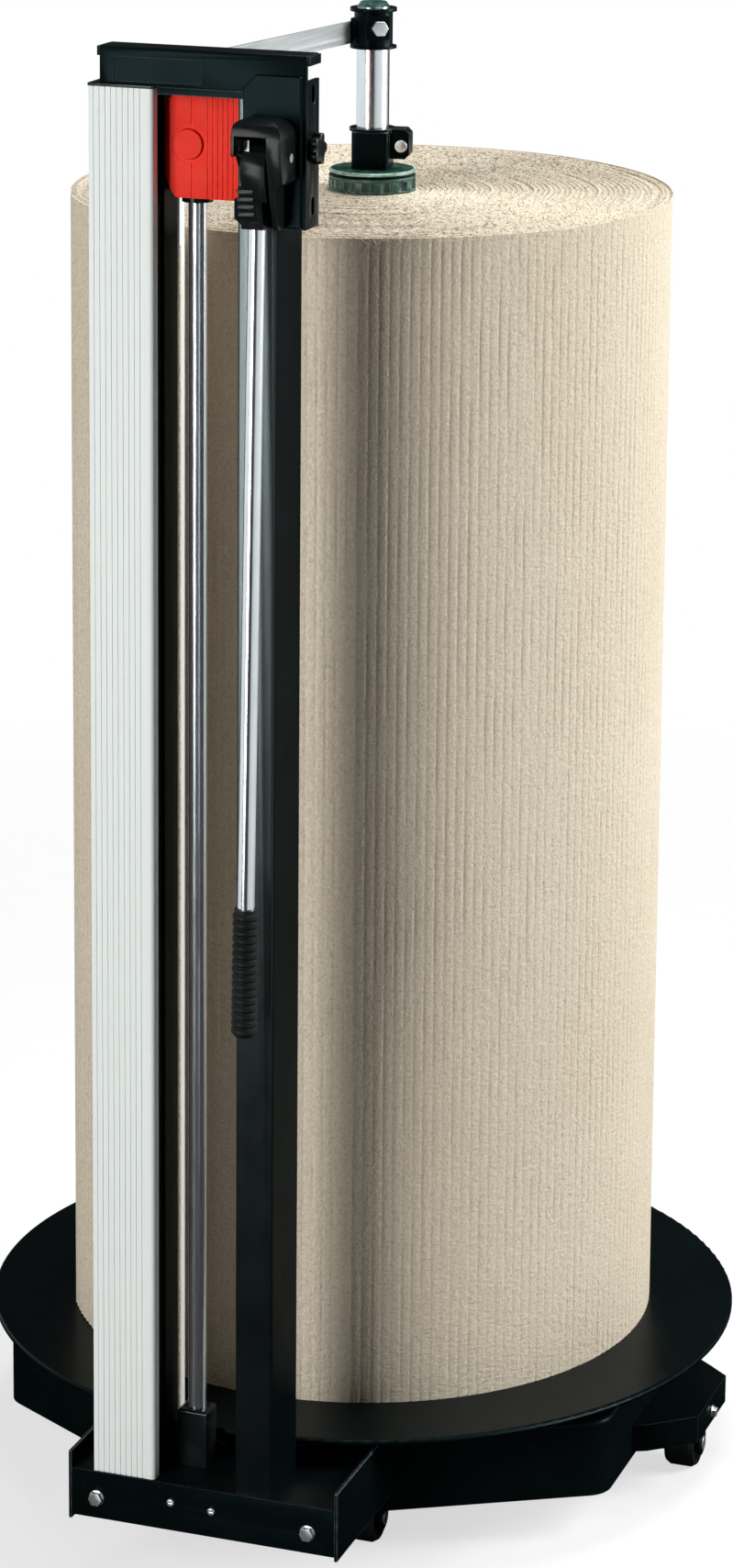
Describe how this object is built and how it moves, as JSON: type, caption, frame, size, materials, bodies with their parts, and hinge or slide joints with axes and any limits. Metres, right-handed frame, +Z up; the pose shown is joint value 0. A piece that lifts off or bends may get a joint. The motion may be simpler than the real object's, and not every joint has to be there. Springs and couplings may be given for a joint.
{
  "type": "roll cutting stand",
  "caption": "Upright cutting stand for a standing roll of corrugated board: turntable base on wheels, cutting rail with a sliding cutter, clamp lever and a hinged presser arm.",
  "frame": {"origin": "centre of the bounding box at floor level", "axes": "X to the right as seen by the person who cuts, Y from the cutting rail to the back, Z up"},
  "size_m": [0.664, 0.776, 1.2905],
  "materials": {
    "black_paint": "satin black powder coat",
    "rail_silver": "satin anodised",
    "chrome_tube": "polished",
    "bright_zinc": "bright zinc",
    "red_plastic": "satin red",
    "black_plastic": "moulded black",
    "green_plastic": "dark green",
    "black_rubber": "ribbed",
    "blade_steel": "ground",
    "roll_board": "fine vertical flutes"
  },
  "bodies": {
    "stand": {"base_pan": "black_paint", "outrigger_left": "black_paint", "outrigger_right": "black_paint", "front_beam": "black_paint", "end_plates": "black_paint", "wheel_forks": "black_paint", "wheel_axles": "bright_zinc", "hex_bolts": "bright_zinc", "beam_screws": "bright_zinc", "spindle_bush": "bright_zinc", "cutting_rail": "rail_silver", "rail_cap": "black_plastic", "backing_bar": "black_paint", "paper_web": "roll_board", "tube_foot": "black_plastic", "guide_tube": "chrome_tube", "column": "black_paint", "head_bracket": "black_paint", "cover_plate": "black_paint", "head_plate": "black_paint", "arm_pin": "bright_zinc", "lever_housing": "black_plastic", "lever_pin": "bright_zinc"},
    "turntable": {"turntable_disc": "black_paint", "paper_roll": "roll_board", "spindle": "bright_zinc", "spindle_ring": "bright_zinc"},
    "bearing": {"bearing_cage": "black_plastic", "bearing_balls": "bright_zinc"},
    "lever": {"lever_hub": "black_plastic", "lever_tube": "chrome_tube", "lever_grip": "black_rubber"},
    "clamp": {"clamp_bar": "rail_silver", "clamp_pad": "black_rubber", "clamp_bridge": "black_paint", "clamp_rods": "bright_zinc"},
    "carriage": {"carriage_front": "red_plastic", "carriage_rear": "red_plastic", "carriage_bushes": "black_plastic"},
    "cutter": {"blade_button": "red_plastic", "blade_holder": "black_plastic", "cutter_blade": "blade_steel"},
    "arm": {"arm_bar": "rail_silver", "post_collar": "black_paint", "arm_screw": "bright_zinc"},
    "post": {"post_tube": "chrome_tube", "post_cap": "green_plastic", "post_clamp": "black_paint", "clamp_screw": "bright_zinc"},
    "presser": {"presser_hub": "green_plastic", "presser_disc": "green_plastic"},
    "knob": {"lock_knob": "black_plastic"},
    "post_lock": {"collar_screw": "bright_zinc"},
    "wheel_right": {"wheel_right": "black_rubber"},
    "wheel_left": {"wheel_left": "black_rubber"},
    "wheel_front_right": {"wheel_front_right": "black_rubber"},
    "wheel_front_left": {"wheel_front_left": "black_rubber"},
    "wheel_rear_right": {"wheel_rear_right": "black_rubber"},
    "wheel_rear_left": {"wheel_rear_left": "black_rubber"}
  },
  "joints": [
    {"name": "turntable_spin", "type": "hinge", "parent": "stand", "child": "turntable", "pos_m": [0, 0.05599, 0.119], "axis": [0, 0, 1], "continuous": true},
    {"name": "bearing_spin", "type": "hinge", "parent": "stand", "child": "bearing", "pos_m": [0, 0.05599, 0.112], "axis": [0, 0, 1], "continuous": true},
    {"name": "lever_swing", "type": "hinge", "parent": "stand", "child": "lever", "pos_m": [0.051, -0.35251, 1.213], "axis": [-1, 0, 0], "range_deg": [0, 60]},
    {"name": "clamp_slide", "type": "slide", "parent": "stand", "child": "clamp", "axis": [0, 1, 0], "range_m": [0, 0.006]},
    {"name": "carriage_slide", "type": "slide", "parent": "stand", "child": "carriage", "axis": [0, 0, 1], "range_m": [-1, 0]},
    {"name": "button_press", "type": "slide", "parent": "carriage", "child": "cutter", "axis": [0, 1, 0], "range_m": [0, 0.005], "stiffness_N_per_m": 600, "springref_m": -0.002},
    {"name": "arm_swing", "type": "hinge", "parent": "stand", "child": "arm", "pos_m": [-0.0185, -0.30601, 1.273], "axis": [1, 0, 0], "range_deg": [0, 75]},
    {"name": "post_slide", "type": "slide", "parent": "arm", "child": "post", "axis": [0, 0, 1], "range_m": [0, 0.06]},
    {"name": "presser_spin", "type": "hinge", "parent": "post", "child": "presser", "pos_m": [0, 0.05599, 1.14], "axis": [0, 0, 1], "continuous": true},
    {"name": "knob_turn", "type": "hinge", "parent": "stand", "child": "knob", "pos_m": [0.086, -0.32501, 1.217], "axis": [1, 0, 0], "range_deg": [-90, 90]},
    {"name": "post_lock_turn", "type": "hinge", "parent": "arm", "child": "post_lock", "pos_m": [0.01342, 0.03609, 1.26509], "axis": [0.5592, -0.829, 0], "range_deg": [0, 180]},
    {"name": "wheel_right_spin", "type": "hinge", "parent": "stand", "child": "wheel_right", "pos_m": [0.3025, 0.05599, 0.022], "axis": [1, 0, 0], "continuous": true},
    {"name": "wheel_left_spin", "type": "hinge", "parent": "stand", "child": "wheel_left", "pos_m": [-0.3025, 0.05599, 0.022], "axis": [1, 0, 0], "continuous": true},
    {"name": "wheel_front_right_spin", "type": "hinge", "parent": "stand", "child": "wheel_front_right", "pos_m": [0.088, -0.18201, 0.022], "axis": [1, 0, 0], "continuous": true},
    {"name": "wheel_front_left_spin", "type": "hinge", "parent": "stand", "child": "wheel_front_left", "pos_m": [-0.088, -0.18201, 0.022], "axis": [1, 0, 0], "continuous": true},
    {"name": "wheel_rear_right_spin", "type": "hinge", "parent": "stand", "child": "wheel_rear_right", "pos_m": [0.088, 0.29399, 0.022], "axis": [1, 0, 0], "continuous": true},
    {"name": "wheel_rear_left_spin", "type": "hinge", "parent": "stand", "child": "wheel_rear_left", "pos_m": [-0.088, 0.29399, 0.022], "axis": [1, 0, 0], "continuous": true}
  ],
  "couplings": [
    {"joint": "bearing_spin", "follows": "turntable_spin", "ratio": 0.5},
    {"joint": "presser_spin", "follows": "turntable_spin", "ratio": 1},
    {"joint": "clamp_slide", "follows": "lever_swing", "m_per_rad": 0.0057}
  ]
}
